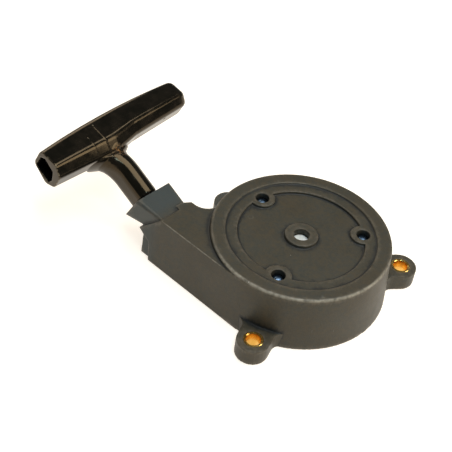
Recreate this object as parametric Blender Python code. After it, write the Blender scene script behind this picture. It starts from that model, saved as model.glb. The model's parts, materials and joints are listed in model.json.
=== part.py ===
"""Recoil starter for a small engine: housing, rewind spring, rope pulley, pawls and T grip.

Units are metres, +Z up. The housing stands on its open mounting side, with the base plane at z = 0.
The rope leaves along -X, bends up by GRIP_TILT in the horn and ends in the grip.
"""
import math

import bmesh
import bpy
from mathutils import Matrix, Vector

# ---------------------------------------------------------------- driving dimensions
GAP = 0.0003  # clearance between touching pieces
AXLE_X = 0.0357  # axle position, counted from the centre of the whole outline
AXLE_Y = 0.0106

# housing cup
BASE_R = 0.04775
RIM_R = 0.0454
HOUSING_H = 0.0320
RIM_ROUND = 0.0012
WALL = 0.0030
RECESS_OUTER_R = 0.0380
RECESS_OUTER_Z = 0.0311
RECESS_INNER_R = 0.0320
RECESS_INNER_Z = 0.02975
PLATE_BOTTOM_Z = 0.0270
CENTRE_BOSS_R = 0.0084
CENTRE_BOSS_Z = 0.0313
CENTRE_HOLE_R = 0.00405
POCKET_CIRCLE_R = 0.0315
POCKET_BOSS_R = 0.0066
POCKET_R = 0.0035
POCKET_FLOOR_Z = 0.0266
HANGER_R = 0.0050
HANGER_Z = 0.0246

# lugs
LUG_ANGLES = [math.radians(50.3 + 120.0 * k) for k in range(3)]
LUG_CIRCLE_R = 0.0557
LUG_H = 0.0090
LUG_END_R = 0.0083
LUG_ROOT_HALF_W = 0.0125
INSERT_R = 0.0045
INSERT_BORE_R = 0.0036
INSERT_H = 0.0090

# rope, pulley groove and winding
ROPE_R = 0.00175
ROPE_LANE = 0.03465  # distance of the outgoing rope from the axle
COIL_INNER_R = 0.0189
COIL_OUTER_R = 0.0364
ROPE_Z = 0.0121

# arm and horn
ARM_TOP_Z = 0.02975
ARM_SINK = 0.00003  # the arm's wall lies this far inside the cup's, so that it meets it without a step
ARM_END_X = -0.0575
ARM_SHOULDER_X = -0.0525
ARM_NOSE = (-0.0665, 0.0159)
ARM_HEEL = (-0.0590, 0.0113)
ARM_INNER_Y = -0.0240
ARM_WAIST_Y = -0.0280
LIP_LOW = (-0.0784, 0.0141)
LIP_HIGH = (-0.0693, 0.0315)
LIP_NEAR_Y = -0.0466
LIP_FAR_Y = -0.0237
HORN_WALL = 0.0020
HORN_ROOT_RADII = (0.0010, 0.0012, 0.0040, 0.0040)
HORN_LIP_RADII = (0.0010, 0.0022, 0.0058, 0.0045)
HORN_BORE_RADII = (0.0012, 0.0014, 0.0032, 0.0030)
GUSSET_X = -0.0643
GUSSET_INSET = 0.0018

# grip: s points out along the stem, w is the upward perpendicular, Y runs along the bar
GRIP_TILT = math.radians(26.0)
STEM_W = -0.0415  # stem axis height above the housing rim, measured along w
BAR_RISE = 0.0025
BAR_S = 0.1010
LIP_S = 0.0625
BAR_LEFT = 0.0378
BAR_RIGHT = 0.0545
BAR_HALF_S = 0.0085
BAR_BOW = 0.0022
BAR_BELLY = 0.0020
BAR_BELLY_RIGHT = 0.0160
BAR_TAPER = 0.0014
BAR_SKEW = 0.022
BAR_DOME = 0.0050
BAR_STEPS = 18
DOME_STEPS = 8
DOME_FULLNESS = 0.42
STEM_HALF_W = 0.00585
STEM_HALF_H = 0.0086
STEM_ROOT_HALF_H = 0.0070
STEM_BORE_R = 0.0026

# stack under the top plate
CASE_R = 0.0360
CASE_TOP_Z = 0.0243
CASE_PLATE_Z = 0.0229
CUP_OUTER_R = 0.0276
CUP_INNER_R = 0.0264
CUP_BOTTOM_Z = 0.01665
POST_R = 0.0050
POST_BOTTOM_Z = 0.0034
PULLEY_R = 0.0400
PULLEY_BOTTOM_Z = 0.0083
PULLEY_TOP_Z = 0.0156
HUB_R = 0.0088
HUB_TOP_Z = 0.0225
PAWL_CIRCLE_R = 0.0143
PAWL_Z = (0.0050, 0.0079)
PAWL_PIN_R = 0.0019

ROUND = 96
SMALL_ROUND = 40


# ---------------------------------------------------------------- helpers
def clear_scene():
    for thing in list(bpy.data.objects):
        bpy.data.objects.remove(thing, do_unlink=True)


def plastic(name, color, roughness, metallic=0.0):
    material = bpy.data.materials.new(name)
    material.use_nodes = True
    shader = material.node_tree.nodes["Principled BSDF"]
    shader.inputs["Base Color"].default_value = (*color, 1.0)
    shader.inputs["Roughness"].default_value = roughness
    shader.inputs["Metallic"].default_value = metallic
    return material


def empty(name, location, parent=None, rotation=(0.0, 0.0, 0.0)):
    holder = bpy.data.objects.new(name, None)
    bpy.context.collection.objects.link(holder)
    holder.location = location
    holder.rotation_euler = rotation
    holder.parent = parent
    return holder


def finish(name, bm, material=None, parent=None, location=(0.0, 0.0, 0.0), rotation=(0.0, 0.0, 0.0)):
    """Turns a bmesh into a named object with faces out and round parts shaded smooth."""
    bmesh.ops.recalc_face_normals(bm, faces=bm.faces)
    mesh = bpy.data.meshes.new(name)
    bm.to_mesh(mesh)
    bm.free()
    mesh.shade_smooth()
    mesh.set_sharp_from_angle(angle=math.radians(35.0))
    thing = bpy.data.objects.new(name, mesh)
    bpy.context.collection.objects.link(thing)
    if material:
        mesh.materials.append(material)
    thing.location = location
    thing.rotation_euler = rotation
    thing.parent = parent
    return thing


def loft(rings):
    """Closed solid through rings of equally many points, capped at both ends."""
    bm = bmesh.new()
    loops = [[bm.verts.new(point) for point in ring] for ring in rings]
    count = len(loops[0])
    for lower, upper in zip(loops, loops[1:]):
        for k in range(count):
            bm.faces.new((lower[k], lower[(k + 1) % count], upper[(k + 1) % count], upper[k]))
    bm.faces.new(list(reversed(loops[0])))
    bm.faces.new(loops[-1])
    return bm


def prism(outline, low, high):
    return loft([[(x, y, low) for x, y in outline], [(x, y, high) for x, y in outline]])


def turned(profile, steps=ROUND):
    """Solid of revolution about Z: profile is a closed list of (radius, z)."""
    bm = bmesh.new()
    rings = []
    for k in range(steps):
        angle = 2.0 * math.pi * k / steps
        rings.append([bm.verts.new((r * math.cos(angle), r * math.sin(angle), z)) for r, z in profile])
    count = len(profile)
    for k in range(steps):
        here, there = rings[k], rings[(k + 1) % steps]
        for j in range(count):
            bm.faces.new((here[j], there[j], there[(j + 1) % count], here[(j + 1) % count]))
    bmesh.ops.remove_doubles(bm, verts=bm.verts, dist=1e-6)
    bmesh.ops.dissolve_degenerate(bm, edges=bm.edges, dist=1e-7)
    return bm


def circle(radius, centre=(0.0, 0.0), steps=SMALL_ROUND, start=0.0, sweep=2.0 * math.pi, closed=False):
    last = steps - 1 if closed else steps
    angles = [start + sweep * k / last for k in range(steps)]
    return [(centre[0] + radius * math.cos(a), centre[1] + radius * math.sin(a)) for a in angles]


def cylinder(radius, low, high, centre=(0.0, 0.0), steps=SMALL_ROUND):
    return prism(circle(radius, centre, steps), low, high)


def rounded_box(x0, x1, y0, y1, radius, steps=5):
    """Outline of a rectangle with round corners."""
    corners = [(x1 - radius, y1 - radius, 0.0), (x0 + radius, y1 - radius, 0.5 * math.pi),
               (x0 + radius, y0 + radius, math.pi), (x1 - radius, y0 + radius, 1.5 * math.pi)]
    points = []
    for x, y, start in corners:
        points += circle(radius, (x, y), steps, start, 0.5 * math.pi, closed=True)
    return points


def rounded_polygon(corners, radii, steps=4):
    """Outline of a convex polygon whose corners are rounded by arcs of the given radii."""
    points = []
    count = len(corners)
    for k in range(count):
        here = Vector(corners[k])
        before = (Vector(corners[k - 1]) - here).normalized()
        after = (Vector(corners[(k + 1) % count]) - here).normalized()
        half = 0.5 * before.angle(after)
        centre = here + (before + after).normalized() * radii[k] / math.sin(half)
        first = here + before * radii[k] / math.tan(half) - centre
        last = here + after * radii[k] / math.tan(half) - centre
        turn = first.angle_signed(last)
        for j in range(steps):
            step = Matrix.Rotation(-turn * j / (steps - 1), 2) @ first
            points.append(tuple(centre + step))
    return points


def combine(target, tools, operation):
    """Bakes a Boolean of target with each tool, and removes the tools."""
    for tool in tools:
        change = target.modifiers.new("cut", "BOOLEAN")
        change.operation = operation
        change.object = tool
    bpy.context.view_layer.update()
    solved = target.evaluated_get(bpy.context.evaluated_depsgraph_get())
    mesh = bpy.data.meshes.new_from_object(solved)
    target.modifiers.clear()
    target.data = mesh
    for tool in tools:
        bpy.data.objects.remove(tool, do_unlink=True)
    tidy = bmesh.new()
    tidy.from_mesh(mesh)
    bmesh.ops.remove_doubles(tidy, verts=tidy.verts, dist=0.000004)
    bmesh.ops.dissolve_degenerate(tidy, edges=tidy.edges, dist=0.000001)
    bmesh.ops.dissolve_limit(tidy, angle_limit=math.radians(0.3), verts=tidy.verts, edges=tidy.edges)
    bmesh.ops.triangulate(tidy, faces=[face for face in tidy.faces if len(face.verts) > 4])
    tidy.to_mesh(mesh)
    tidy.free()
    mesh.shade_smooth()
    mesh.set_sharp_from_angle(angle=math.radians(35.0))


def polar(radius, angle):
    return (radius * math.cos(angle), radius * math.sin(angle))


def grip_point(s, y, w):
    """Point given by its distance s along the stem, its place y along the bar and its height w."""
    x = -math.cos(GRIP_TILT) * s + math.sin(GRIP_TILT) * w
    z = math.sin(GRIP_TILT) * s + math.cos(GRIP_TILT) * w + HOUSING_H
    return (x, y, z)


def tube(name, points, radius, material, parent):
    """Round rope or wire through the given points."""
    curve = bpy.data.curves.new(name, "CURVE")
    curve.dimensions = "3D"
    curve.bevel_depth = radius
    curve.bevel_resolution = 2
    curve.use_fill_caps = True
    line = curve.splines.new("POLY")
    line.points.add(len(points) - 1)
    for slot, point in zip(line.points, points):
        slot.co = (*point, 1.0)
    thing = bpy.data.objects.new(name, curve)
    bpy.context.collection.objects.link(thing)
    curve.materials.append(material)
    thing.parent = parent
    return thing


# ---------------------------------------------------------------- housing
def cup_outer():
    """The drafted cup with its stepped top and raised centre boss, still solid."""
    step = 0.0002
    profile = [(0.0, 0.0), (BASE_R, 0.0), (RIM_R, HOUSING_H - RIM_ROUND)]
    for k in range(1, 5):
        a = 0.5 * math.pi * k / 4
        profile.append((RIM_R - RIM_ROUND * (1 - math.cos(a)), HOUSING_H - RIM_ROUND * (1 - math.sin(a))))
    profile += [(RECESS_OUTER_R, HOUSING_H), (RECESS_OUTER_R - step, RECESS_OUTER_Z),
                (RECESS_INNER_R, RECESS_OUTER_Z), (RECESS_INNER_R - step, RECESS_INNER_Z),
                (CENTRE_BOSS_R + step, RECESS_INNER_Z), (CENTRE_BOSS_R, CENTRE_BOSS_Z), (0.0, CENTRE_BOSS_Z)]
    return finish("housing_cup", turned(profile))


def cup_cavity():
    profile = [(0.0, -0.001), (BASE_R - WALL, -0.001), (RIM_R - WALL, PLATE_BOTTOM_Z - 0.001),
               (RIM_R - WALL - 0.001, PLATE_BOTTOM_Z), (0.0, PLATE_BOTTOM_Z)]
    return finish("cup_cavity", turned(profile))


def arm_wall_y(z):
    """The arm's outer wall follows the cup's side, drafted by the same slope."""
    return -(BASE_R - (BASE_R - RIM_R) * z / (HOUSING_H - RIM_ROUND)) + ARM_SINK


def arm_block():
    """Tangential arm: a side profile carried across, its outer wall drafted like the cup."""
    side = [(0.0, 0.0), (ARM_END_X, 0.0), ARM_HEEL, ARM_NOSE, (ARM_SHOULDER_X, ARM_TOP_Z), (0.0, ARM_TOP_Z)]
    near = [(x, arm_wall_y(z), z) for x, z in side]
    far = [(x, ARM_WAIST_Y, z) for x, z in side]
    return finish("arm_block", loft([near, far]))


def arm_shoulder():
    """The wider inner part of the arm that runs into the cup with a concave curve."""
    fillet = circle(0.0085, (-0.0505, -0.0155), 7, math.radians(-88.0), math.radians(80.0), closed=True)
    outline = [(-0.020, -0.044), (ARM_SHOULDER_X - 0.0031, ARM_WAIST_Y - 0.004),
               (ARM_SHOULDER_X - 0.0031, ARM_WAIST_Y), (ARM_SHOULDER_X - 0.0004, ARM_INNER_Y)]
    outline += fillet
    outline += [(-0.030, -0.010)]
    return finish("arm_shoulder", prism(outline, 0.0, ARM_TOP_Z))


def horn_ring(low, high, near_y, far_y, radii):
    """Section across the rope: low and high are (x, z) of its bottom and top, radii those of its corners
    from the far top round by the near side to the far bottom."""
    run = Vector(high) - Vector(low)
    corners = [(far_y, run.length), (near_y, run.length), (near_y, 0.0), (far_y, 0.0)]
    outline = rounded_polygon(corners, radii, 5)
    up = run.normalized()
    return [(low[0] + up.x * h, y, low[1] + up.y * h) for y, h in outline]


def shrink(low, high, amount):
    up = (Vector(high) - Vector(low)).normalized()
    return tuple(Vector(low) + up * amount), tuple(Vector(high) - up * amount)


def along(low, high, distance):
    """Moves both ends of a section by the same distance out along the stem direction."""
    out = Vector((-math.cos(GRIP_TILT), math.sin(GRIP_TILT))) * distance
    return tuple(Vector(low) + out), tuple(Vector(high) + out)


def horn_shell():
    root_low, root_high = (-0.0610, 0.0140), (-0.0500, 0.0286)
    mid_low, mid_high = (-0.0665, 0.0157), (-0.0545, 0.0292)
    rings = [horn_ring(root_low, root_high, -0.0447, -0.0277, HORN_ROOT_RADII),
             horn_ring(mid_low, mid_high, -0.0449, -0.0268, HORN_ROOT_RADII),
             horn_ring(LIP_LOW, LIP_HIGH, LIP_NEAR_Y, LIP_FAR_Y, HORN_LIP_RADII)]
    return finish("horn_shell", loft(rings))


def horn_bore():
    lip_low, lip_high = shrink(LIP_LOW, LIP_HIGH, HORN_WALL)
    past_low, past_high = along(lip_low, lip_high, 0.001)
    near, far = LIP_NEAR_Y + HORN_WALL, LIP_FAR_Y - HORN_WALL
    rings = [horn_ring((-0.0592, 0.0141), (-0.0565, 0.0232), -0.0410, -0.0302, HORN_BORE_RADII),
             horn_ring(past_low, past_high, near, far, HORN_BORE_RADII)]
    return finish("horn_bore", loft(rings))


def gusset():
    near = arm_wall_y(0.0) + GUSSET_INSET
    side = [(ARM_END_X + 0.002, 0.0), (GUSSET_X, 0.0), (GUSSET_X, 0.0160), (ARM_END_X + 0.002, 0.0160)]
    return finish("gusset", loft([[(x, near + 0.0008 * z / 0.016, z) for x, z in side],
                                  [(x, ARM_WAIST_Y, z) for x, z in side]]))


def arm_passage():
    outline = [(-0.018, -0.0440), (-0.0538, -0.0440), (-0.0538, -0.0330), (-0.0500, -0.0275),
               (-0.0460, -0.0230), (-0.030, -0.0130), (-0.018, -0.0130)]
    return finish("arm_passage", prism(outline, -0.001, ARM_TOP_Z - 0.0026))


def lug(angle):
    """Ear with a round end and concave sides that run into the cup wall."""
    root_x = 0.0420
    sweep = circle(0.0050, (0.0505, LUG_END_R + 0.0050), 5, math.radians(-90.0), math.radians(-62.0), closed=True)
    end = circle(LUG_END_R, (LUG_CIRCLE_R, 0.0), 13, math.radians(-90.0), math.radians(180.0), closed=True)
    left = [(x, -y) for x, y in reversed(sweep)]
    outline = [(root_x, -LUG_ROOT_HALF_W)] + left + end + sweep + [(root_x, LUG_ROOT_HALF_W)]
    ear = finish("lug", prism(outline, 0.0, LUG_H))
    ear.rotation_euler.z = angle
    return ear


def brass_bore(angle):
    return finish("insert_bore", cylinder(INSERT_R + GAP, -0.001, LUG_H + 0.001, polar(LUG_CIRCLE_R, angle)))


def make_housing(material, parent):
    housing = cup_outer()
    housing.name = "housing"
    added = [arm_block(), arm_shoulder(), gusset(), horn_shell()] + [lug(a) for a in LUG_ANGLES]
    for angle in LUG_ANGLES:
        boss = cylinder(POCKET_BOSS_R, RECESS_INNER_Z - 0.001, RECESS_OUTER_Z, polar(POCKET_CIRCLE_R, angle))
        added.append(finish("pocket_boss", boss))
    combine(housing, added, "UNION")
    cuts = [cup_cavity(), arm_passage(), horn_bore(), eyelet_cutter()] + [brass_bore(a) for a in LUG_ANGLES]
    cuts.append(finish("centre_hole", cylinder(CENTRE_HOLE_R, 0.020, 0.034, steps=32)))
    combine(housing, cuts, "DIFFERENCE")
    hangers = [finish("hanger", cylinder(HANGER_R, HANGER_Z, PLATE_BOTTOM_Z + 0.0005, polar(POCKET_CIRCLE_R, a)))
               for a in LUG_ANGLES]
    combine(housing, hangers, "UNION")
    holes = []
    for angle in LUG_ANGLES:
        place = polar(POCKET_CIRCLE_R, angle)
        holes.append(finish("pocket", cylinder(POCKET_R, POCKET_FLOOR_Z, 0.034, place)))
        holes.append(finish("pocket_clearance", cylinder(0.0018, 0.020, 0.030, place, 16)))
    combine(housing, holes, "DIFFERENCE")
    housing.data.materials.clear()
    housing.data.materials.append(material)
    housing.parent = parent
    return housing


# ---------------------------------------------------------------- fixed pieces
EYELET_CENTRE = (-0.0557, -ROPE_LANE, 0.0146)
EYELET_TILT = math.radians(13.0)
EYELET_R = 0.0044
EYELET_HALF_L = 0.0036


def eyelet_place(thing):
    thing.location = EYELET_CENTRE
    thing.rotation_euler = (0.0, -math.pi / 2 + EYELET_TILT, 0.0)


def eyelet_cutter():
    cutter = finish("eyelet_cutter", cylinder(EYELET_R + GAP, -0.008, 0.008))
    eyelet_place(cutter)
    return cutter


def make_eyelet(material, parent):
    """Hard rope eyelet with a flared throat, pressed into the arm's end wall."""
    profile = [(EYELET_R, -EYELET_HALF_L), (EYELET_R, EYELET_HALF_L), (0.0036, EYELET_HALF_L)]
    for k in range(7):
        a = math.pi * (k / 6 - 0.5)
        profile.append((0.0036 - 0.0012 * math.cos(a), -EYELET_HALF_L * math.sin(a) * 0.92))
    profile.append((0.0036, -EYELET_HALF_L))
    eyelet = finish("outlet_eyelet", turned(profile, SMALL_ROUND), material, parent)
    eyelet_place(eyelet)


def make_insert(number, angle, material, parent):
    profile = [(INSERT_BORE_R, 0.0001), (INSERT_R, 0.0001), (INSERT_R, INSERT_H + 0.0001),
               (INSERT_BORE_R + 0.0003, INSERT_H + 0.0001), (INSERT_BORE_R, INSERT_H - 0.0002)]
    x, y = polar(LUG_CIRCLE_R, angle)
    finish(f"brass_insert_{number}", turned(profile, SMALL_ROUND), material, parent, (x, y, 0.0))


def make_case_screw(number, angle, material, parent):
    """Domed screw that holds the spring case from above."""
    low = POCKET_FLOOR_Z + GAP
    profile = [(0.0, 0.0200), (0.0015, 0.0200), (0.0015, low), (0.0030, low), (0.0030, low + 0.0006)]
    for k in range(1, 5):
        a = 0.5 * math.pi * k / 4
        profile.append((0.0030 * math.cos(a), low + 0.0006 + 0.0016 * math.sin(a)))
    x, y = polar(POCKET_CIRCLE_R, angle)
    finish(f"case_screw_{number}", turned(profile, 20), material, parent, (x, y, 0.0))


def make_spring_case(material, parent):
    """Moulded case with the spring cup, the axle post and the spigot under the centre hole."""
    profile = [(0.0, 0.0276), (0.0037, 0.0276), (0.0037, 0.0267), (0.0065, 0.0267), (0.0080, CASE_TOP_Z),
               (CASE_R, CASE_TOP_Z), (CASE_R, CASE_PLATE_Z), (CUP_OUTER_R, CASE_PLATE_Z),
               (CUP_OUTER_R, CUP_BOTTOM_Z), (CUP_INNER_R, CUP_BOTTOM_Z), (CUP_INNER_R, CASE_PLATE_Z),
               (POST_R, CASE_PLATE_Z), (POST_R, POST_BOTTOM_Z), (0.0017, POST_BOTTOM_Z), (0.0017, 0.0160),
               (0.0, 0.0160)]
    case = finish("spring_case", turned(profile, 48), material)
    bosses = [finish("case_boss", cylinder(0.0034, 0.0190, CASE_PLATE_Z + 0.0005, polar(POCKET_CIRCLE_R, a), 16))
              for a in LUG_ANGLES]
    combine(case, bosses, "UNION")
    holes = [finish("case_hole", cylinder(0.0018, 0.0180, 0.0260, polar(POCKET_CIRCLE_R, a), 16))
             for a in LUG_ANGLES]
    combine(case, holes, "DIFFERENCE")
    case.parent = parent


def make_rewind_spring(material, parent):
    """Flat strip wound as a spiral inside the cup."""
    turns, steps, inner, outer, half = 6.0, 120, 0.0094, 0.0256, 0.0003
    low, high = 0.0170, 0.0222
    rings = []
    for k in range(steps + 1):
        angle = 2.0 * math.pi * turns * k / steps
        radius = inner + (outer - inner) * k / steps
        ring = []
        for r, z in ((radius - half, low), (radius + half, low), (radius + half, high), (radius - half, high)):
            ring.append((r * math.cos(angle), r * math.sin(angle), z))
        rings.append(ring)
    finish("rewind_spring", loft(rings), material, parent)


def make_flat_ring(name, inner, outer, low, high, material, parent, steps=40):
    return finish(name, turned([(inner, low), (outer, low), (outer, high), (inner, high)], steps), material, parent)


def make_retaining_screw(material, parent):
    """Hexagon-headed screw up into the axle post."""
    head = prism(circle(0.0034, steps=6), 0.0004, 0.0019)
    screw = finish("retaining_screw", head, material)
    shank = finish("shank", cylinder(0.0014, 0.0015, 0.0150, steps=16))
    combine(screw, [shank], "UNION")
    screw.parent = parent


# ---------------------------------------------------------------- pulley body
def make_pulley(material, parent):
    bore = POST_R + 0.0016
    floor_r = COIL_INNER_R - 0.0005
    profile = [(bore, PULLEY_BOTTOM_Z), (PULLEY_R, PULLEY_BOTTOM_Z), (PULLEY_R, 0.0096), (PULLEY_R - 0.001, 0.0100),
               (floor_r, 0.0100), (floor_r, 0.0142), (PULLEY_R - 0.001, 0.0142), (PULLEY_R, 0.0146),
               (PULLEY_R, PULLEY_TOP_Z), (HUB_R, PULLEY_TOP_Z), (HUB_R, HUB_TOP_Z), (bore, HUB_TOP_Z)]
    pulley = finish("pulley", turned(profile, 48), material)
    holes = [finish("pin_hole", cylinder(PAWL_PIN_R + GAP, 0.0070, 0.0124, polar(PAWL_CIRCLE_R, a), 16))
             for a in (0.0, math.pi)]
    knot = finish("knot_hole", cylinder(0.0030, 0.0090, 0.0170, (-0.0135, 0.0062), 16))
    combine(pulley, holes + [knot], "DIFFERENCE")
    pulley.parent = parent


def make_inner_knot(material, parent):
    """Stopper knot of the rope's inner end, in its pocket in the pulley."""
    bm = bmesh.new()
    bmesh.ops.create_uvsphere(bm, u_segments=12, v_segments=8, radius=0.0026)
    finish("rope_inner_knot", bm, material, parent, (-0.0135, 0.0062, 0.0128))


def make_brake_spring(material, parent):
    """Short coil between the pulley and the guide plate."""
    points = []
    for k in range(33):
        angle = 2.0 * math.pi * 2.0 * k / 32
        points.append((*polar(0.0066, angle), 0.0055 + 0.0018 * k / 32))
    tube("brake_spring", points, 0.0004, material, parent)


PAWL_LENGTH = 0.0120
PAWL_REST = math.radians(118.0)


def make_pawl(number, angle, steel, pulley_parent, pawl_parent):
    """Pawl and the pin that it turns about."""
    tip = polar(PAWL_LENGTH, PAWL_REST)
    side = Vector(tip).normalized()
    across = Vector((-side.y, side.x))
    eye = circle(0.0041, (0.0, 0.0), 15, PAWL_REST + math.radians(62.0), math.radians(236.0), closed=True)
    nose = [tuple(Vector(tip) - across * 0.0022), tuple(Vector(tip) * 1.06 - across * 0.0006),
            tuple(Vector(tip) * 1.02 + across * 0.0012)]
    pawl = finish(f"pawl_{number}", prism(eye + nose, *PAWL_Z), steel)
    bore = finish("pawl_bore", cylinder(PAWL_PIN_R + GAP, 0.004, 0.009, steps=16))
    combine(pawl, [bore], "DIFFERENCE")
    pawl.parent = pawl_parent
    pin = cylinder(PAWL_PIN_R, PAWL_Z[0] - 0.00005, 0.0120, polar(PAWL_CIRCLE_R, 0.0), 16)
    turn = (0.0, 0.0, angle)
    finish(f"pawl_pin_{number}", pin, steel, pulley_parent, (0.0, 0.0, 0.0), turn)


# ---------------------------------------------------------------- grip body
BAR_SECTION = [(0.0085, -0.0060), (0.0085, 0.0060), (-0.0030, 0.0092), (-0.0085, 0.0050),
               (-0.0085, -0.0050), (-0.0030, -0.0092)]
BAR_RADII = [0.0035, 0.0035, 0.0030, 0.0030, 0.0030, 0.0030]


def bar_ring(y, reach_y, size):
    """Cross-section of the bar at y, with its bowed outer side, shrunk by size about its middle."""
    middle = 0.5 * (BAR_RIGHT - BAR_LEFT)
    half = 0.5 * (BAR_RIGHT + BAR_LEFT)
    outer = BAR_HALF_S + BAR_BOW * (1.0 - ((reach_y - middle) / half) ** 2)
    near = BAR_LEFT if reach_y < 0.0 else BAR_BELLY_RIGHT
    inner = BAR_HALF_S + BAR_BELLY * max(0.0, 1.0 - abs(reach_y) / near) - BAR_TAPER * max(0.0, reach_y) / half
    ring = []
    for s, w in rounded_polygon(BAR_SECTION, BAR_RADII, 6):
        side = 0.5 * (outer - inner) + s / BAR_HALF_S * 0.5 * (outer + inner) * size + BAR_SKEW * reach_y
        ring.append(grip_point(BAR_S + side, y - ROPE_LANE, STEM_W + BAR_RISE + w * size))
    return ring


def bar_solid():
    """Barrel-shaped bar: thickest at the stem, cut square on the left, with a shallow dome on the right."""
    shoulder = BAR_RIGHT - BAR_DOME
    rings = []
    for k in range(BAR_STEPS + 1):
        y = -BAR_LEFT + (shoulder + BAR_LEFT) * k / BAR_STEPS
        rings.append(bar_ring(y, y, 1.0))
    for k in range(1, DOME_STEPS + 1):
        a = 0.5 * math.pi * k / (DOME_STEPS + 0.5)
        rings.append(bar_ring(shoulder + BAR_DOME * math.sin(a), shoulder, math.cos(a) ** DOME_FULLNESS))
    return finish("bar", loft(rings))


def stem_ring(s, left, right, half_h):
    radius = min(0.5 * (left + right), half_h) * 0.999
    outline = rounded_box(-left, right, -half_h, half_h, radius, 8)
    return [grip_point(s, y - ROPE_LANE, STEM_W + w) for y, w in outline]


STEM_END_S = LIP_S + 0.0006


def stem_solid():
    """Oblong stem that widens into the bar with a larger sweep on its left."""
    rings = [stem_ring(LIP_S - 0.0045, 0.0046, 0.0046, 0.0043),
             stem_ring(STEM_END_S - 0.0002, 0.0052, 0.0052, 0.0054),
             stem_ring(STEM_END_S, STEM_HALF_W - 0.0004, STEM_HALF_W - 0.0004, STEM_HALF_H - 0.0006),
             stem_ring(STEM_END_S + 0.0008, STEM_HALF_W, STEM_HALF_W, STEM_HALF_H)]
    root = BAR_S - 0.0100
    left_sweep, right_sweep = 0.0130, 0.0045
    for k in range(11):
        a = 0.5 * math.pi * k / 10
        s = root - left_sweep * math.cos(a)
        near = min(1.0, max(0.0, (s - (root - right_sweep)) / right_sweep))
        left = STEM_HALF_W + left_sweep * (1.0 - math.sqrt(1.0 - (1.0 - math.cos(a)) ** 2 * 0.999)) * 0.9
        right = STEM_HALF_W + right_sweep * (1.0 - math.sqrt(1.0 - near ** 2 * 0.98))
        half_h = STEM_HALF_H + (STEM_ROOT_HALF_H - STEM_HALF_H) * (left - STEM_HALF_W) / (0.9 * left_sweep)
        rings.append(stem_ring(s, left, right, half_h))
    rings.append(stem_ring(BAR_S, left, right, STEM_ROOT_HALF_H))
    return finish("stem", loft(rings))


CAVITY_SECTION = [(0.0058, -0.0068), (0.0058, 0.0012), (0.0032, 0.0038), (-0.0042, 0.0022),
                  (-0.0060, -0.0034), (-0.0050, -0.0072)]


def grip_cavity():
    """Hollow that is open at the square end and reaches past the rope knot."""
    rings = []
    for y, size in ((-BAR_LEFT - 0.001, 1.0), (0.0080, 0.94)):
        ring = []
        for s, w in rounded_polygon(CAVITY_SECTION, [0.0010] * 6, 3):
            ring.append(grip_point(BAR_S + s * size, y - ROPE_LANE, STEM_W + BAR_RISE + 0.0008 + w * size))
        rings.append(ring)
    return finish("cavity", loft(rings))


def stem_frame(thing, s):
    """Places a piece whose own +Z points out along the stem."""
    thing.location = grip_point(s, -ROPE_LANE, STEM_W)
    thing.rotation_euler = (0.0, GRIP_TILT - math.pi / 2, 0.0)


def make_grip(material, parent):
    grip = bar_solid()
    grip.name = "grip"
    combine(grip, [stem_solid()], "UNION")
    bore = finish("rope_bore", cylinder(STEM_BORE_R, -0.060, 0.0, steps=16))
    stem_frame(bore, BAR_S)
    combine(grip, [grip_cavity(), bore], "DIFFERENCE")
    grip.data.materials.clear()
    grip.data.materials.append(material)
    grip.parent = parent


def make_knot_pieces(washer_material, rope_material, parent):
    seat = BAR_S - 0.0048
    washer = finish("knot_washer", turned([(0.0021, 0.0), (0.0031, 0.0), (0.0031, 0.0008), (0.0021, 0.0008)], 20),
                    washer_material)
    stem_frame(washer, seat)
    washer.parent = parent
    bm = bmesh.new()
    bmesh.ops.create_uvsphere(bm, u_segments=12, v_segments=8, radius=0.0028)
    knot = finish("rope_knot", bm, rope_material)
    stem_frame(knot, seat + 0.0040)
    knot.parent = parent
    tail = finish("rope_in_stem", cylinder(ROPE_R, LIP_S - 0.0042, seat - GAP, steps=10), rope_material)
    stem_frame(tail, 0.0)
    tail.parent = parent


# ---------------------------------------------------------------- rope
def make_rope_coil(material, parent):
    half = ROPE_R * 0.98
    profile = [(COIL_INNER_R, ROPE_Z - half), (COIL_OUTER_R - 0.0012, ROPE_Z - half), (COIL_OUTER_R, ROPE_Z - 0.0008),
               (COIL_OUTER_R, ROPE_Z + 0.0008), (COIL_OUTER_R - 0.0012, ROPE_Z + half), (COIL_INNER_R, ROPE_Z + half)]
    finish("rope_coil", turned(profile, 48), material, parent)


def make_rope_run(material, parent):
    """Rope from the winding through the arm and the eyelet up to the stem."""
    start = Vector((-0.0150, -ROPE_LANE - 0.0030, ROPE_Z))
    knee = Vector((-0.0540, -ROPE_LANE, 0.0140))
    after = Vector(grip_point(0.0455, -ROPE_LANE, STEM_W + 0.0012))
    end = Vector(grip_point(LIP_S - 0.0048, -ROPE_LANE, STEM_W))
    points = []
    for k in range(5):
        points.append(start.lerp(knee, k / 5))
    for k in range(6):
        t = k / 5
        points.append(knee * (1 - t) ** 2 + (knee + Vector((-0.0030, 0.0, 0.0003))) * 2 * t * (1 - t) + after * t * t)
    points.append(after.lerp(end, 0.5))
    points.append(end)
    tube("rope_run", [tuple(p) for p in points], ROPE_R, material, parent)


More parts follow.
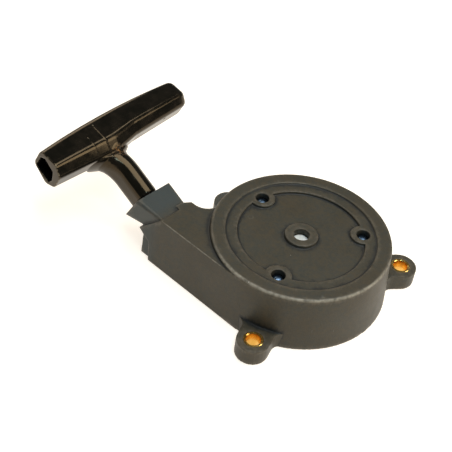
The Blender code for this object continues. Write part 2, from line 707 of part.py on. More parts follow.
# ---------------------------------------------------------------- assembly
def build():
    clear_scene()
    housing_plastic = plastic("housing_plastic", (0.060, 0.057, 0.053), 0.62)
    grip_plastic = plastic("grip_plastic", (0.010, 0.010, 0.011), 0.18)
    nylon = plastic("natural_nylon", (0.82, 0.81, 0.77), 0.45)
    pulley_plastic = plastic("pulley_plastic", (0.030, 0.030, 0.032), 0.45)
    brass = plastic("brass", (0.86, 0.50, 0.10), 0.22, 1.0)
    black_steel = plastic("black_steel", (0.020, 0.021, 0.024), 0.25, 0.6)
    steel = plastic("steel", (0.52, 0.52, 0.53), 0.32, 1.0)
    spring_steel = plastic("spring_steel", (0.33, 0.36, 0.42), 0.28, 1.0)
    bronze = plastic("bronze", (0.55, 0.34, 0.16), 0.35, 1.0)
    rope_fibre = plastic("rope_fibre", (0.62, 0.60, 0.55), 0.85)

    axle = empty("axle", (AXLE_X, AXLE_Y, 0.0))
    make_housing(housing_plastic, axle)
    for number, angle in enumerate(LUG_ANGLES, 1):
        make_insert(number, angle, brass, axle)
        make_case_screw(number, angle, black_steel, axle)
    make_eyelet(steel, axle)
    make_spring_case(nylon, axle)
    make_rewind_spring(spring_steel, axle)
    make_flat_ring("spring_retainer", 0.0092, 0.0290, 0.01595, 0.01635, steel, axle)
    make_flat_ring("retaining_washer", 0.0017, 0.0082, 0.0022, 0.0031, steel, axle, 28)
    make_retaining_screw(steel, axle)
    make_rope_run(rope_fibre, axle)

    pulley = empty("pulley_axis", (0.0, 0.0, 0.0), axle)
    make_pulley(pulley_plastic, pulley)
    make_flat_ring("pulley_bush", POST_R + GAP, POST_R + 0.0013, 0.0085, 0.0223, bronze, pulley, 28)
    make_rope_coil(rope_fibre, pulley)
    make_inner_knot(rope_fibre, pulley)
    make_brake_spring(spring_steel, pulley)
    for number, angle in enumerate((0.0, math.pi), 1):
        pawl_axis = empty(f"pawl_axis_{number}", (*polar(PAWL_CIRCLE_R, angle), 0.0), pulley, (0.0, 0.0, angle))
        make_pawl(number, angle, steel, pulley, pawl_axis)
    guide = empty("guide_axis", (0.0, 0.0, 0.0), pulley)
    make_flat_ring("guide_plate", POST_R + GAP, 0.0175, 0.0037, 0.0047, steel, guide, 32)

    grip_axis = empty("grip_axis", (0.0, 0.0, 0.0), axle)
    make_grip(grip_plastic, grip_axis)
    make_knot_pieces(steel, rope_fibre, grip_axis)


build()
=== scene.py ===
"""Looks for the recoil starter: moulded housing and grip, braided rope, and a material for every piece."""

import json
import math

import bmesh
import bpy
import numpy as np
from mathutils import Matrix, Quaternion, Vector

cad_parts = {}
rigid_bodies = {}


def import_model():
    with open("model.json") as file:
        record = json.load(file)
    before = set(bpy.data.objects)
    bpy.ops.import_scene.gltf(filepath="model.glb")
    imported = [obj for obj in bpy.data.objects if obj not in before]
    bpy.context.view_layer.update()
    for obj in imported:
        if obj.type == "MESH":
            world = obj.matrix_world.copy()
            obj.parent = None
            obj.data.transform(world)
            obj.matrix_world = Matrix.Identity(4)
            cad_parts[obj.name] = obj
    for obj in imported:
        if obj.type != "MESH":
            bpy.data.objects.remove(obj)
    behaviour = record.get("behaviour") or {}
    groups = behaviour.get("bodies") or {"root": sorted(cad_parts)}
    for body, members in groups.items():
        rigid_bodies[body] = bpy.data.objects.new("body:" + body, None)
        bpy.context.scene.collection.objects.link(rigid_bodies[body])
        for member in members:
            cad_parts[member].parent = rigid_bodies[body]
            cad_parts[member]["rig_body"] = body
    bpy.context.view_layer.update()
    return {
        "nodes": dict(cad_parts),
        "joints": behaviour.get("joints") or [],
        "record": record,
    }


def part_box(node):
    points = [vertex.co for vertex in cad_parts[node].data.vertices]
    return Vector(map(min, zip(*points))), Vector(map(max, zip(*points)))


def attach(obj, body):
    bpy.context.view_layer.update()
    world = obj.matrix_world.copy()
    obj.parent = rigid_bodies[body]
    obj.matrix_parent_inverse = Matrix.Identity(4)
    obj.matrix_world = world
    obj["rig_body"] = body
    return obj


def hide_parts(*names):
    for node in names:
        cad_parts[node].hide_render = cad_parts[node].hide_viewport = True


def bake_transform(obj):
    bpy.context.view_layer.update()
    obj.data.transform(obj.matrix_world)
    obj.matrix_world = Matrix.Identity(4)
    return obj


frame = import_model()

JOINTS = {joint["name"]: joint for joint in frame["joints"]}
AXLE = Vector(JOINTS["pulley_spin"]["pos_m"])
PULL = JOINTS["grip_pull"]["range_m"][1]
OUT = Vector(JOINTS["grip_pull"]["axis"]).normalized()  # along the stem, away from the housing
UP = Vector((0.0, 1.0, 0.0)).cross(OUT).normalized()  # across the stem and the bar
HOUSING_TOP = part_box("housing")[1].z

# the camera: its turn in degrees, and its place counted from the middle of the housing's top in CAMERA_UNIT steps
CAMERA_UNIT = 0.0450
CAMERA_PLACE = (4.846, -7.588, 8.222)
CAMERA_AZIMUTH = 37.88
CAMERA_ELEVATION = 42.73
CAMERA_ROLL = 8.54
CAMERA_LENS = 88.4

# the rope, as the CAD source routes it
ROPE_R = 0.00175
ROPE_LANE = 0.03465
STEM_W = -0.0415
STEM_ROOT_S = 0.0900
STEM_ROOT_LIFT = 0.0078
COIL_Z = 0.0121
COIL_RADII = (0.02065, 0.03460)
COIL_TURNS = 4.0
ROPE_STEP = 0.0004
BRAID_PITCH = 0.0042
BRAID_STRANDS = 8
BRAID_DEPTH = 0.10  # share of the rope's radius

# the cup's drafted side and the arm, as the CAD source has them; places are counted from the axle
CUP_BASE_R = 0.04775
CUP_RIM_R = 0.0454
CUP_SIDE_H = 0.0308
CONE_TOLERANCE = 0.00006
ARM_LENGTH = 0.0560
ARM_TOP_Z = 0.02975
ARM_EDGE_Y = 0.0455
WALL_TOLERANCE = 0.00009
HORN_START_X = 0.0520
HORN_END_X = 0.0600
EJECTOR_MARK = (-0.0260, -0.0090, 0.02975)

# the brass bushes: a little wider than their bores, so that no gap shows
BUSH_R = 0.00495
BUSH_BORE_R = 0.0036
BUSH_RISE = 0.0001
BUSH_STEPS = 72

# the moulded skins
LONGEST_EDGE = 0.0026
MOST_HALVINGS = 6
MOULD_LINES = (  # place along the bar, height, and the reach along the stem from where to where
    (-0.0050, 0.00016, 0.0880, 0.1080),
    (-0.0125, 0.00008, 0.0930, 0.1030),
)
MOULD_LINE_WIDTH = 0.00028
UPPER_SIDE = 0.25


# ---------------------------------------------------------------- meshes
def linked(name, mesh):
    thing = bpy.data.objects.new(name, mesh)
    bpy.context.scene.collection.objects.link(thing)
    return thing


def bake(thing):
    """Applies a piece's modifiers to its mesh."""
    solved = thing.evaluated_get(bpy.context.evaluated_depsgraph_get())
    mesh = bpy.data.meshes.new_from_object(solved)
    thing.modifiers.clear()
    thing.data = mesh


def copy_of(node, name):
    """A joined-up copy of a CAD node's mesh, as a new piece."""
    mesh = frame["nodes"][node].data.copy()
    bm = bmesh.new()
    bm.from_mesh(mesh)
    bmesh.ops.remove_doubles(bm, verts=bm.verts, dist=2e-6)
    bm.to_mesh(mesh)
    bm.free()
    mesh.materials.clear()
    normals = mesh.attributes.get("custom_normal")
    if normals:
        mesh.attributes.remove(normals)
    return linked(name, mesh)


def body_of(node):
    return frame["nodes"][node]["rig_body"]


def stand_in(thing, node, material):
    """Puts a finer piece in a CAD node's place, with its body and material."""
    thing.data.materials.append(material)
    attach(thing, body_of(node))
    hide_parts(node)


def points_of(mesh, attribute):
    flat = np.empty(len(mesh.vertices) * 3)
    mesh.vertices.foreach_get(attribute, flat)
    return flat.reshape(-1, 3)


def mark_edges(thing, rounds, depth):
    """Stores how far each point stands proud of its surroundings: 0.5 is flat, 1 an edge, 0 an inside corner."""
    mesh = thing.data
    count = len(mesh.vertices)
    place = points_of(mesh, "co")
    normal = points_of(mesh, "normal")
    ends = np.empty(len(mesh.edges) * 2, int)
    mesh.edges.foreach_get("vertices", ends)
    first, second = ends.reshape(-1, 2).T
    degree = np.bincount(ends, minlength=count)
    calm = place.copy()
    for _ in range(rounds):
        for axis in range(3):
            near = np.bincount(first, calm[second, axis], count)
            near += np.bincount(second, calm[first, axis], count)
            calm[:, axis] = 0.5 * calm[:, axis] + 0.5 * near / degree
    proud = ((place - calm) * normal).sum(axis=1) / depth
    attribute = mesh.attributes.new("edge", "FLOAT", "POINT")
    attribute.data.foreach_set("value", np.clip(0.5 + 0.5 * proud, 0.0, 1.0).astype(np.float32))


def split_long_edges(mesh, longest):
    """Halves edges until none is long, so that flat stretches shade evenly."""
    bm = bmesh.new()
    bm.from_mesh(mesh)
    for _ in range(MOST_HALVINGS):
        long_edges = [edge for edge in bm.edges if edge.calc_length() > longest]
        if not long_edges:
            break
        bmesh.ops.subdivide_edges(bm, edges=long_edges, cuts=1)
        bmesh.ops.triangulate(bm, faces=[face for face in bm.faces if len(face.verts) > 3])
    bm.to_mesh(mesh)
    bm.free()


def moulded(node, voxel, rounds, faces, detail):
    """A fine skin over a CAD node, with edges and inside corners rounded as moulded plastic's are."""
    skin = copy_of(node, node + "_moulded")
    grid = skin.modifiers.new("grid", "REMESH")
    grid.mode = "VOXEL"
    grid.voxel_size = voxel
    soften = skin.modifiers.new("soften", "SMOOTH")
    soften.factor = 0.5
    soften.iterations = rounds
    bake(skin)
    detail(skin.data)
    thin = skin.modifiers.new("thin", "DECIMATE")
    thin.ratio = min(1.0, faces / (2.0 * len(skin.data.polygons)))
    bake(skin)
    split_long_edges(skin.data, LONGEST_EDGE)
    skin.data.shade_smooth()
    return skin


def round_out(mesh):
    """Brings the flats of the cup's side out to a true cone, and the arm's wall to the cone's tangent plane."""
    place = points_of(mesh, "co")
    axle = np.array((AXLE.x, AXLE.y))
    offset = place[:, :2] - axle
    radius = np.linalg.norm(offset, axis=1)
    cone = CUP_BASE_R + (CUP_RIM_R - CUP_BASE_R) * place[:, 2] / CUP_SIDE_H
    wall = (offset[:, 0] < 0.0) & (offset[:, 0] > -ARM_LENGTH) & (np.abs(offset[:, 1] + cone) < WALL_TOLERANCE)
    place[wall, 1] = AXLE.y - cone[wall]
    side = (np.abs(radius - cone) < CONE_TOLERANCE) & (place[:, 2] < CUP_SIDE_H) & ~wall
    place[side, :2] = axle + offset[side] * (cone[side] / radius[side])[:, None]
    mesh.vertices.foreach_set("co", place.ravel())


def moulding_lines(mesh):
    """Raises the thin witness lines that the mould left across the grip's upper side."""
    place = points_of(mesh, "co")
    normal = points_of(mesh, "normal")
    along_bar = place[:, 1] - (AXLE.y - ROPE_LANE)
    reach = (place - np.array(stem_point(0.0))) @ np.array(OUT)
    upward = np.clip(normal @ np.array(UP), 0.0, 1.0)
    for line, height, low, high in MOULD_LINES:
        ridge = height * np.exp(-((along_bar - line) / MOULD_LINE_WIDTH) ** 2)
        ridge *= (reach > low) & (reach < high) & (upward > UPPER_SIDE)
        place += normal * (ridge * upward)[:, None]
    mesh.vertices.foreach_set("co", place.ravel())


def bush(node):
    """A turned brass bush with a chamfered mouth, which fills its bore in the lug."""
    low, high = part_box(node)
    middle = (low + high) / 2.0
    top = high.z + BUSH_RISE
    outside = [(BUSH_BORE_R, low.z), (BUSH_R, low.z), (BUSH_R, top - 0.0002), (BUSH_R - 0.0002, top)]
    mouth = [(BUSH_BORE_R + 0.00045, top), (BUSH_BORE_R + 0.0001, top - 0.0003), (BUSH_BORE_R, top - 0.0006)]
    profile = outside + mouth
    bm = bmesh.new()
    rings = []
    for k in range(BUSH_STEPS):
        angle = 2.0 * math.pi * k / BUSH_STEPS
        rings.append([bm.verts.new((middle.x + r * math.cos(angle), middle.y + r * math.sin(angle), z))
                      for r, z in profile])
    for k in range(BUSH_STEPS):
        here, there = rings[k], rings[(k + 1) % BUSH_STEPS]
        for j in range(len(profile)):
            following = (j + 1) % len(profile)
            bm.faces.new((here[j], there[j], there[following], here[following]))
    bmesh.ops.recalc_face_normals(bm, faces=bm.faces)
    mesh = bpy.data.meshes.new(node + "_turned")
    bm.to_mesh(mesh)
    bm.free()
    mesh.shade_smooth()
    mesh.set_sharp_from_angle(angle=math.radians(30.0))
    return linked(node + "_turned", mesh)


def edged(node, width):
    """A copy of a hard CAD piece with its edges broken by a small bevel."""
    piece = copy_of(node, node + "_edged")
    bevel = piece.modifiers.new("bevel", "BEVEL")
    bevel.width = width
    bevel.segments = 2
    bevel.limit_method = "ANGLE"
    bevel.angle_limit = math.radians(32.0)
    bake(piece)
    piece.data.shade_smooth()
    piece.data.set_sharp_from_angle(angle=math.radians(40.0))
    return piece


def braided(name, path, run, radius, sides=16):
    """Braided rope along path; run is how far along the pulled-out rope each point of the path lies."""
    place = np.array([tuple(point) for point in path])
    tangent = np.gradient(place, axis=0)
    tangent /= np.linalg.norm(tangent, axis=1)[:, None]
    side = np.cross(tangent[0], (0.0, 0.0, 1.0))
    bm = bmesh.new()
    loops = []
    for here, ahead, far in zip(place, tangent, run):
        side = side - ahead * side.dot(ahead)
        side /= np.linalg.norm(side)
        rise = np.cross(ahead, side)
        turn = 2.0 * math.pi * far / BRAID_PITCH
        ring = []
        for k in range(sides):
            angle = 2.0 * math.pi * k / sides
            left = abs(math.cos(0.5 * BRAID_STRANDS * angle + turn))
            right = abs(math.cos(0.5 * BRAID_STRANDS * angle - turn))
            reach = radius * (1.0 - BRAID_DEPTH + BRAID_DEPTH * max(left, right))
            ring.append(bm.verts.new(here + reach * (math.cos(angle) * side + math.sin(angle) * rise)))
        loops.append(ring)
    for lower, upper in zip(loops, loops[1:]):
        for k in range(sides):
            bm.faces.new((lower[k], lower[(k + 1) % sides], upper[(k + 1) % sides], upper[k]))
    bm.faces.new(list(reversed(loops[0])))
    bm.faces.new(loops[-1])
    bmesh.ops.recalc_face_normals(bm, faces=bm.faces)
    mesh = bpy.data.meshes.new(name)
    bm.to_mesh(mesh)
    bm.free()
    mesh.shade_smooth()
    return linked(name, mesh)


def lengths(path):
    steps = [(b - a).length for a, b in zip(path, path[1:])]
    return np.concatenate([[0.0], np.cumsum(steps)])


def resampled(path, step):
    """Points every step along a path."""
    run = lengths(path)
    wanted = np.linspace(0.0, run[-1], max(2, round(run[-1] / step)))
    place = np.array([tuple(point) for point in path])
    columns = [np.interp(wanted, run, place[:, k]) for k in range(3)]
    return [Vector(point) for point in np.stack(columns, axis=1)]


# ---------------------------------------------------------------- materials
def add(tree, kind, inputs=None, **settings):
    node = tree.nodes.new("ShaderNode" + kind)
    for key, value in settings.items():
        setattr(node, key, value)
    for socket, value in (inputs or {}).items():
        if isinstance(value, bpy.types.NodeSocket):
            tree.links.new(value, node.inputs[socket])
        else:
            node.inputs[socket].default_value = value
    return node


def new_look(name, color, roughness, metallic=0.0):
    material = bpy.data.materials.new(name)
    material.use_nodes = True
    tree = material.node_tree
    shader = tree.nodes["Principled BSDF"]
    shader.inputs["Base Color"].default_value = (*color, 1.0)
    shader.inputs["Roughness"].default_value = roughness
    shader.inputs["Metallic"].default_value = metallic
    return material, tree, shader


def coordinates(tree):
    return add(tree, "TexCoord").outputs["Object"]


def noise(tree, place, scale, detail=3.0, roughness=0.55):
    inputs = {"Vector": place, "Scale": scale, "Detail": detail, "Roughness": roughness}
    return add(tree, "TexNoise", inputs).outputs["Fac"]


def between(tree, value, low, high, start=0.0, end=1.0):
    inputs = {"Value": value, "From Min": low, "From Max": high, "To Min": start, "To Max": end}
    return add(tree, "MapRange", inputs).outputs["Result"]


def mixed(tree, share, first, second):
    """A colour between two; each is a socket or a colour."""
    node = add(tree, "Mix", data_type="RGBA")
    for index, value in ((0, share), (6, first), (7, second)):
        if isinstance(value, bpy.types.NodeSocket):
            tree.links.new(value, node.inputs[index])
        elif index:
            node.inputs[index].default_value = (*value, 1.0)
        else:
            node.inputs[index].default_value = value
    return node.outputs[2]


def maths(tree, operation, first, second=0.0):
    return add(tree, "Math", {0: first, 1: second}, operation=operation).outputs[0]


def product(tree, first, *others):
    for other in others:
        first = maths(tree, "MULTIPLY", first, other)
    return first


def distance_to(tree, place, target):
    return add(tree, "VectorMath", {0: place, 1: target}, operation="DISTANCE").outputs["Value"]


def bumped(tree, height, distance, strength=1.0, before=None):
    inputs = {"Height": height, "Distance": distance, "Strength": strength}
    if before:
        inputs["Normal"] = before
    return add(tree, "Bump", inputs).outputs["Normal"]


def edge_share(tree, low, high):
    """0 on flat stretches, 1 on the edges that mark_edges found."""
    value = add(tree, "Attribute", attribute_name="edge").outputs["Fac"]
    return between(tree, value, low, high)


def specks(tree, place, scale, size, rarity):
    """Sparse round dots, one in some cells of a scatter."""
    cells = add(tree, "TexVoronoi", {"Vector": place, "Scale": scale})
    near = between(tree, cells.outputs["Distance"], size, size * 0.6)
    pick = add(tree, "SeparateColor", {"Color": cells.outputs["Color"]}).outputs[0]
    return product(tree, near, maths(tree, "GREATER_THAN", pick, rarity))


def housing_look():
    """Dark brown-grey filled nylon: fine spark-eroded grain, mottling, worn edges and a few pale specks, with
    painted cool light on the horn, painted shade in the inside corners and a painted highlight along the rim and
    the arm's upper edge.
    """
    material, tree, shader = new_look("housing_plastic_look", (0.04, 0.036, 0.03), 0.55)
    place = coordinates(tree)
    cloud = noise(tree, place, 70.0, 6.0, 0.6)
    grain = noise(tree, place, 1500.0, 3.0, 0.6)
    tint = noise(tree, place, 45.0, 4.0, 0.65)
    patchy = between(tree, noise(tree, place, 420.0, 4.0), 0.3, 0.62)

    # the plastic itself, with painted cool light on the horn
    base = mixed(tree, between(tree, tint, 0.40, 0.62), (0.031, 0.032, 0.025), (0.042, 0.033, 0.020))
    base = mixed(tree, between(tree, cloud, 0.35, 0.70, 0.0, 0.5), base, (0.046, 0.041, 0.031))
    base = mixed(tree, between(tree, grain, 0.35, 0.75, 0.0, 0.6), base, (0.060, 0.053, 0.040))
    mottle = between(tree, noise(tree, place, 480.0, 4.0, 0.7), 0.42, 0.64, 0.0, 0.65)
    base = mixed(tree, mottle, base, (0.062, 0.046, 0.025))
    # painted cool light: the horn's end is tinted blue-grey by its place along x
    reach = add(tree, "SeparateXYZ", {"Vector": place}).outputs[0]
    painted_cool_light_on_horn = between(tree, reach, AXLE.x - HORN_START_X, AXLE.x - HORN_END_X)
    base = mixed(tree, product(tree, painted_cool_light_on_horn, 0.7), base, (0.036, 0.050, 0.054))

    # wear with a painted highlight on the rim and the arm's upper edge, the ejector mark, painted shade in the
    # inside corners, and specks
    scuff = product(tree, edge_share(tree, 0.60, 0.88), patchy)
    base = mixed(tree, product(tree, scuff, 0.50), base, (0.13, 0.105, 0.075))
    # handling wear with a painted highlight along the rim and the arm's upper edge
    base = mixed(tree, product(tree, wear_and_painted_highlight(tree, place, patchy), 0.9), base, (0.36, 0.32, 0.25))
    mark = (AXLE.x + EJECTOR_MARK[0], AXLE.y + EJECTOR_MARK[1], EJECTOR_MARK[2])
    away = distance_to(tree, place, mark)
    ring = product(tree, between(tree, away, 0.0009, 0.0012), between(tree, away, 0.0017, 0.0014))
    base = mixed(tree, product(tree, ring, product(tree, patchy, 0.5)), base, (0.11, 0.10, 0.08))
    # painted shade: inside corners darkened nearly to black
    corner = edge_share(tree, 0.46, 0.15)
    base = mixed(tree, product(tree, corner, 0.8), base, (0.008, 0.010, 0.012))
    base = mixed(tree, specks(tree, place, 170.0, 0.055, 0.93), base, (0.55, 0.50, 0.42))
    tree.links.new(base, shader.inputs["Base Color"])

    rough = between(tree, cloud, 0.3, 0.7, 0.44, 0.56)
    rough = maths(tree, "SUBTRACT", rough, product(tree, scuff, 0.10))
    tree.links.new(rough, shader.inputs["Roughness"])
    shader.inputs["Specular IOR Level"].default_value = 0.34
    shader.inputs["Specular Tint"].default_value = (1.0, 0.98, 0.90, 1.0)
    soft = bumped(tree, noise(tree, place, 260.0, 3.0), 0.00008, 0.5)
    tree.links.new(bumped(tree, grain, 0.00005, 0.7, soft), shader.inputs["Normal"])
    return material


def wear_and_painted_highlight(tree, place, patchy):
    """1 along the top rim, on the side away from the arm, and along the arm's upper edge: handling wear together
    with a painted highlight.
    """
    offset = add(tree, "VectorMath", {0: place, 1: (AXLE.x, AXLE.y, 0.0)}, operation="SUBTRACT")
    x, y, z = add(tree, "SeparateXYZ", {"Vector": offset.outputs[0]}).outputs
    radius = maths(tree, "SQRT", maths(tree, "ADD", product(tree, x, x), product(tree, y, y)))
    toward = maths(tree, "SUBTRACT", product(tree, x, 12.0), product(tree, y, 14.0))
    # painted highlight and wear along the top rim
    rim = product(
        tree,
        between(tree, radius, 0.0442, 0.0449),
        between(tree, radius, 0.0459, 0.0454),
        between(tree, z, HOUSING_TOP - 0.0015, HOUSING_TOP - 0.0006),
        between(tree, toward, 0.05, 0.60),
    )
    # painted highlight and wear along the arm's upper edge
    crease = product(
        tree,
        between(tree, maths(tree, "ABSOLUTE", maths(tree, "ADD", y, ARM_EDGE_Y)), 0.00038, 0.00012),
        between(tree, z, ARM_TOP_Z - 0.0006, ARM_TOP_Z - 0.0002),
        between(tree, x, -0.0090, -0.0130),
        between(tree, x, -0.0530, -0.0490),
    )
    wear_and_highlight = maths(tree, "ADD", rim, product(tree, crease, 0.7))
    return product(tree, wear_and_highlight, between(tree, patchy, 0.0, 1.0, 0.30, 1.0))


def grip_look():
    """Polished black plastic with slight sink waves, fine scratches, worn edges and a burnt patch at the stem."""
    material, tree, shader = new_look("grip_plastic_look", (0.006, 0.005, 0.004), 0.14)
    shader.inputs["Specular Tint"].default_value = (1.0, 0.74, 0.44, 1.0)
    shader.inputs["Specular IOR Level"].default_value = 0.42
    place = coordinates(tree)
    smear = noise(tree, place, 120.0, 5.0, 0.6)
    drawn_out = add(tree, "Mapping", {"Vector": place, "Scale": (2.0, 0.15, 2.0)}).outputs[0]
    scratch = noise(tree, drawn_out, 900.0, 2.0)
    worn = between(tree, noise(tree, place, 700.0, 4.0), 0.46, 0.62)
    rub = product(tree, edge_share(tree, 0.68, 0.95), worn)
    base = mixed(tree, between(tree, smear, 0.4, 0.7), (0.004, 0.004, 0.003), (0.010, 0.008, 0.006))
    base = mixed(tree, product(tree, rub, 0.6), base, (0.26, 0.21, 0.14))
    root = stem_point(STEM_ROOT_S, STEM_ROOT_LIFT)
    patch = between(tree, distance_to(tree, place, tuple(root)), 0.0044, 0.0015)
    blotch = noise(tree, place, 900.0, 3.0)
    burnt = product(tree, patch, between(tree, blotch, 0.54, 0.66))
    base = mixed(tree, product(tree, burnt, 0.8), base, (0.30, 0.13, 0.035))
    tree.links.new(base, shader.inputs["Base Color"])
    rough = between(tree, smear, 0.3, 0.8, 0.08, 0.24)
    rough = maths(tree, "ADD", rough, between(tree, scratch, 0.6, 0.8, 0.0, 0.12))
    tree.links.new(rough, shader.inputs["Roughness"])
    waves = bumped(tree, noise(tree, place, 55.0, 2.0), 0.00025, 0.35)
    pits = bumped(tree, product(tree, patch, blotch), 0.0006, 0.7, waves)
    tree.links.new(bumped(tree, scratch, 0.00001, 0.5, pits), shader.inputs["Normal"])
    return material


def plain_look(name, color, second, roughness, metallic=0.0, scale=900.0, depth=0.00003, stretch=(1, 1, 1)):
    """Two-tone, finely grained material; stretch draws the grain out along an axis."""
    material, tree, shader = new_look(name, color, roughness, metallic)
    place = add(tree, "Mapping", {"Vector": coordinates(tree), "Scale": stretch}).outputs[0]
    grain = noise(tree, place, scale, 3.0)
    cloud = noise(tree, place, scale * 0.12, 4.0)
    base = mixed(tree, between(tree, cloud, 0.35, 0.65), color, second)
    tree.links.new(base, shader.inputs["Base Color"])
    rough = between(tree, grain, 0.3, 0.7, roughness * 0.8, roughness * 1.25)
    tree.links.new(rough, shader.inputs["Roughness"])
    tree.links.new(bumped(tree, grain, depth, 0.6), shader.inputs["Normal"])
    return material


def rope_look():
    """Off-white braided nylon with soiled hollows between the strands."""
    material, tree, shader = new_look("rope_fibre_look", (0.52, 0.49, 0.43), 0.85)
    place = coordinates(tree)
    fibre = noise(tree, place, 3200.0, 2.0)
    soil = noise(tree, place, 180.0, 4.0)
    base = mixed(tree, between(tree, fibre, 0.35, 0.7), (0.42, 0.39, 0.33), (0.66, 0.63, 0.56))
    base = mixed(tree, between(tree, soil, 0.45, 0.75, 0.0, 0.5), base, (0.20, 0.17, 0.13))
    tree.links.new(base, shader.inputs["Base Color"])
    tree.links.new(bumped(tree, fibre, 0.00008, 0.8), shader.inputs["Normal"])
    shader.inputs["Sheen Weight"].default_value = 0.3
    return material


# ---------------------------------------------------------------- pieces
def stem_point(s, lift=0.0):
    """Point on the stem's axis, s out from the housing, in the row frame."""
    return Vector((AXLE.x, AXLE.y - ROPE_LANE, HOUSING_TOP)) + OUT * s + UP * (STEM_W + lift)


def make_plastics():
    housing = moulded("housing", 0.00030, 4, 80000, round_out)
    mark_edges(housing, 10, 0.00012)
    stand_in(housing, "housing", housing_look())
    grip = moulded("grip", 0.00026, 7, 100000, moulding_lines)
    mark_edges(grip, 14, 0.00020)
    stand_in(grip, "grip", grip_look())


def make_hard_pieces():
    """Metal and nylon pieces: the CAD shapes with broken edges, each in its own material."""
    looks = {
        "brass": plain_look("brass_look", (0.98, 0.68, 0.22), (0.62, 0.36, 0.08), 0.22, 1.0, stretch=(1, 1, 0.15)),
        # the black steel's blue colour is a painted blue reflection, for the glints on the screw heads
        "black_steel": plain_look("black_steel_blue_glint_look", (0.08, 0.13, 0.20), (0.11, 0.17, 0.26), 0.30, 1.0),
        "steel": plain_look("steel_look", (0.50, 0.50, 0.50), (0.40, 0.41, 0.42), 0.30, 1.0),
        "spring_steel": plain_look("spring_steel_look", (0.22, 0.25, 0.32), (0.34, 0.33, 0.34), 0.26, 1.0),
        "bronze": plain_look("bronze_look", (0.46, 0.28, 0.13), (0.36, 0.21, 0.10), 0.38, 1.0, 1600.0, 0.00005),
        "natural_nylon": plain_look("natural_nylon_look", (0.80, 0.79, 0.74), (0.74, 0.72, 0.66), 0.42),
        "pulley_plastic": plain_look("pulley_plastic_look", (0.026, 0.026, 0.028), (0.036, 0.035, 0.034), 0.42),
    }
    thin = ("rewind_spring", "brake_spring", "spring_retainer")
    for row in frame["record"]["subparts"]:
        node, slot = row["node"], row["material_slot"]
        if slot == "brass":
            stand_in(bush(node), node, looks[slot])
        elif slot in looks:
            stand_in(edged(node, 0.00006 if node in thin else 0.00015), node, looks[slot])


def make_rope_line(fibre):
    """The rope from the winding through the arm into the grip. It is braided evenly for when it is pulled out."""
    start = Vector((AXLE.x - 0.0150, AXLE.y - ROPE_LANE - 0.0030, COIL_Z))
    knee = Vector((AXLE.x - 0.0540, AXLE.y - ROPE_LANE, 0.0140))
    after = stem_point(0.0455, 0.0012)
    handle = knee + Vector((-0.0030, 0.0, 0.0003))
    bend = [knee * (1 - t) ** 2 + handle * 2 * t * (1 - t) + after * t * t for t in np.linspace(0.0, 1.0, 9)]
    inside = resampled([start] + bend, ROPE_STEP)
    first, last = stem_point(0.0462, 0.0011), stem_point(0.0577)
    share = np.linspace(0.0, 1.0, 2000)
    pulled = share * (last - first).length + share * share * (3.0 - 2.0 * share) * PULL
    even = np.interp(np.linspace(0.0, pulled[-1], 900), pulled, share)
    between_ends = [first.lerp(last, t) for t in even]
    stem = resampled([last, stem_point(0.0955)], ROPE_STEP)
    path = inside + between_ends + stem[1:]
    run_inside = lengths(inside)
    run_between = run_inside[-1] + (first - inside[-1]).length + np.interp(even, share, pulled)
    run_stem = run_between[-1] + lengths(stem)[1:]
    rope = braided("rope_line", path, np.concatenate([run_inside, run_between, run_stem]), ROPE_R)
    rope.data.materials.append(fibre)
    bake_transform(rope)
    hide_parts("rope_run", "rope_in_stem")


def make_rope_ends(fibre):
    """The winding on the pulley, and the knot at each end of the rope."""
    low, high = COIL_RADII
    spiral = []
    for t in np.linspace(0.0, 1.0, 1500):
        angle = -2.0 * math.pi * COIL_TURNS * t
        radius = low + (high - low) * t
        spiral.append(Vector((AXLE.x + radius * math.cos(angle), AXLE.y + radius * math.sin(angle), COIL_Z)))
    winding = braided("rope_winding", spiral, lengths(spiral), ROPE_R * 0.97, 12)
    stand_in(winding, "rope_coil", fibre)
    for node, size in (("rope_knot", 0.0027), ("rope_inner_knot", 0.0025)):
        low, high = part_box(node)
        middle = (low + high) / 2.0
        loop = []
        for t in np.linspace(0.0, 2.0 * math.pi * 0.985, 160):
            swell = (2.0 + math.cos(3.0 * t)) / 3.0
            offset = Vector((math.cos(2.0 * t) * swell, math.sin(2.0 * t) * swell, math.sin(3.0 * t) * 0.55))
            loop.append(middle + offset * (size - 0.0010))
        knot = braided(node + "_tied", loop, lengths(loop), 0.0010, 12)
        stand_in(knot, node, fibre)


# ---------------------------------------------------------------- studio
def bearing(azimuth, elevation):
    """Unit vector at an azimuth, in degrees from -Y towards +X, and an elevation."""
    a, e = math.radians(azimuth), math.radians(elevation)
    return Vector((math.sin(a) * math.cos(e), -math.cos(a) * math.cos(e), math.sin(e)))


def aimed(back):
    """The turn of a camera or lamp that looks away from back."""
    return (-back).to_track_quat("-Z", "Y")


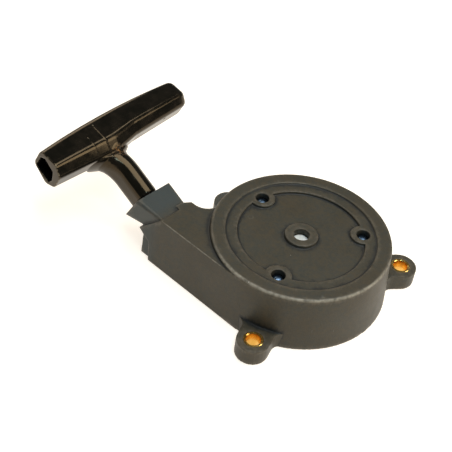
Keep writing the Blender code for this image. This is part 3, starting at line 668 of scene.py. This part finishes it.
def make_camera():
    data = bpy.data.cameras.new("camera")
    data.lens = CAMERA_LENS
    data.sensor_width = 36.0
    camera = linked("camera", data)
    camera.rotation_mode = "QUATERNION"
    roll = Quaternion((0.0, 0.0, 1.0), math.radians(CAMERA_ROLL))
    camera.rotation_quaternion = aimed(bearing(CAMERA_AZIMUTH, CAMERA_ELEVATION)) @ roll
    camera.location = Vector((AXLE.x, AXLE.y, HOUSING_TOP)) + Vector(CAMERA_PLACE) * CAMERA_UNIT
    bpy.context.scene.camera = camera


def soft_box(name, azimuth, elevation, distance, size, power, color):
    back = bearing(azimuth, elevation)
    data = bpy.data.lights.new(name, "AREA")
    data.shape = "RECTANGLE"
    data.size, data.size_y = size
    data.energy = power
    data.color = color
    lamp = linked(name, data)
    lamp.location = back * distance
    lamp.rotation_mode = "QUATERNION"
    lamp.rotation_quaternion = aimed(back)


def make_studio():
    """A pale floor that shines a little, so that it stays near white, dim surroundings and four soft boxes."""
    bm = bmesh.new()
    bmesh.ops.create_grid(bm, x_segments=1, y_segments=1, size=6.0)
    mesh = bpy.data.meshes.new("floor")
    bm.to_mesh(mesh)
    bm.free()
    floor = linked("floor", mesh)
    floor.location.z = -0.0004
    material, _, shader = new_look("floor_look", (0.60, 0.54, 0.46), 0.8)
    shader.inputs["Emission Color"].default_value = (1.0, 0.93, 0.84, 1.0)
    shader.inputs["Emission Strength"].default_value = 0.86
    floor.data.materials.append(material)
    world = bpy.data.worlds.new("studio")
    world.use_nodes = True
    surroundings = world.node_tree.nodes["Background"]
    surroundings.inputs["Color"].default_value = (0.92, 0.96, 1.0, 1.0)
    surroundings.inputs["Strength"].default_value = 0.10
    bpy.context.scene.world = world
    soft_box("overhead", 150.0, 78.0, 0.9, (0.6, 0.6), 5.4, (1.0, 0.99, 0.95))
    soft_box("key", 56.0, 64.0, 0.8, (0.16, 0.16), 1.5, (0.50, 0.78, 1.0))
    soft_box("left", -112.0, 32.0, 1.1, (0.5, 0.5), 2.4, (1.0, 0.88, 0.70))
    soft_box("right", 122.0, 30.0, 1.1, (0.4, 0.5), 3.2, (1.0, 0.92, 0.76))
    bpy.context.scene.view_settings.view_transform = "Standard"


make_camera()
rope_fibre = rope_look()
make_rope_line(rope_fibre)
make_rope_ends(rope_fibre)
make_plastics()
make_hard_pieces()
make_studio()
